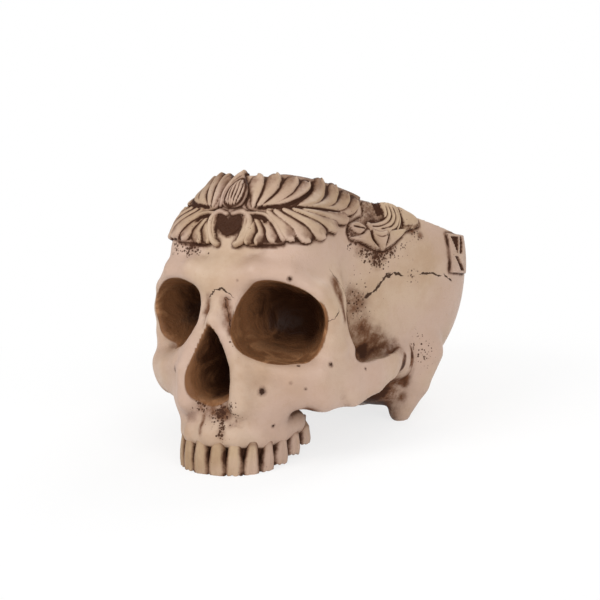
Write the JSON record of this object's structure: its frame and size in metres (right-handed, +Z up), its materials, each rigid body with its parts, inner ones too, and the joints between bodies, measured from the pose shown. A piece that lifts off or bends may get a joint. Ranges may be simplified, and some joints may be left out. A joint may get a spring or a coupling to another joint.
{
  "type": "skull pot",
  "caption": "Open bowl in the shape of a human skull without its lower jaw, with a carved leaf crest on the forehead, temple rosettes and a small rear plaque.",
  "frame": {"origin": "middle of the bounding box, on the table the pot stands on", "axes": "+Z up, -Y the way the face looks, +X to the skull's own left"},
  "size_m": [0.1382, 0.2004, 0.1436],
  "materials": {
    "bone_resin": "hand-painted cast resin, bone colour with a brown wash in the hollows, satin",
    "cheek_resin": "hand-painted cast resin, pale bone colour, satin",
    "jaw_resin": "hand-painted cast resin, bone colour darkened with brown round the nose and the roots, satin",
    "tooth_resin": "hand-painted cast resin, yellowed bone with brown in the grooves, satin",
    "crest_resin": "hand-painted cast resin, carved relief with brown in the grooves, satin",
    "flower_resin": "hand-painted cast resin, carved relief with a darker brown hollow, satin"
  },
  "bodies": {
    "root": {"tooth_left_central_incisor": "tooth_resin", "tooth_left_lateral_incisor": "tooth_resin", "tooth_left_canine": "tooth_resin", "tooth_left_first_premolar": "tooth_resin", "tooth_left_first_molar": "tooth_resin", "tooth_left_second_molar": "tooth_resin", "tooth_left_third_molar": "tooth_resin", "tooth_right_central_incisor": "tooth_resin", "tooth_right_lateral_incisor": "tooth_resin", "tooth_right_canine": "tooth_resin", "tooth_right_first_premolar": "tooth_resin", "tooth_right_first_molar": "tooth_resin", "tooth_right_second_molar": "tooth_resin", "tooth_right_third_molar": "tooth_resin", "cranial_bowl": "bone_resin", "upper_jaw": "jaw_resin", "left_cheekbone": "cheek_resin", "right_cheekbone": "cheek_resin", "nasal_bridge": "cheek_resin", "crest_left_large_leaf": "crest_resin", "crest_left_small_leaf": "crest_resin", "left_temple_rosette": "crest_resin", "crest_right_large_leaf": "crest_resin", "crest_right_small_leaf": "crest_resin", "right_temple_rosette": "crest_resin", "rear_plaque": "crest_resin", "crest_flower": "flower_resin", "crest_bud": "flower_resin"}
  },
  "joints": []
}
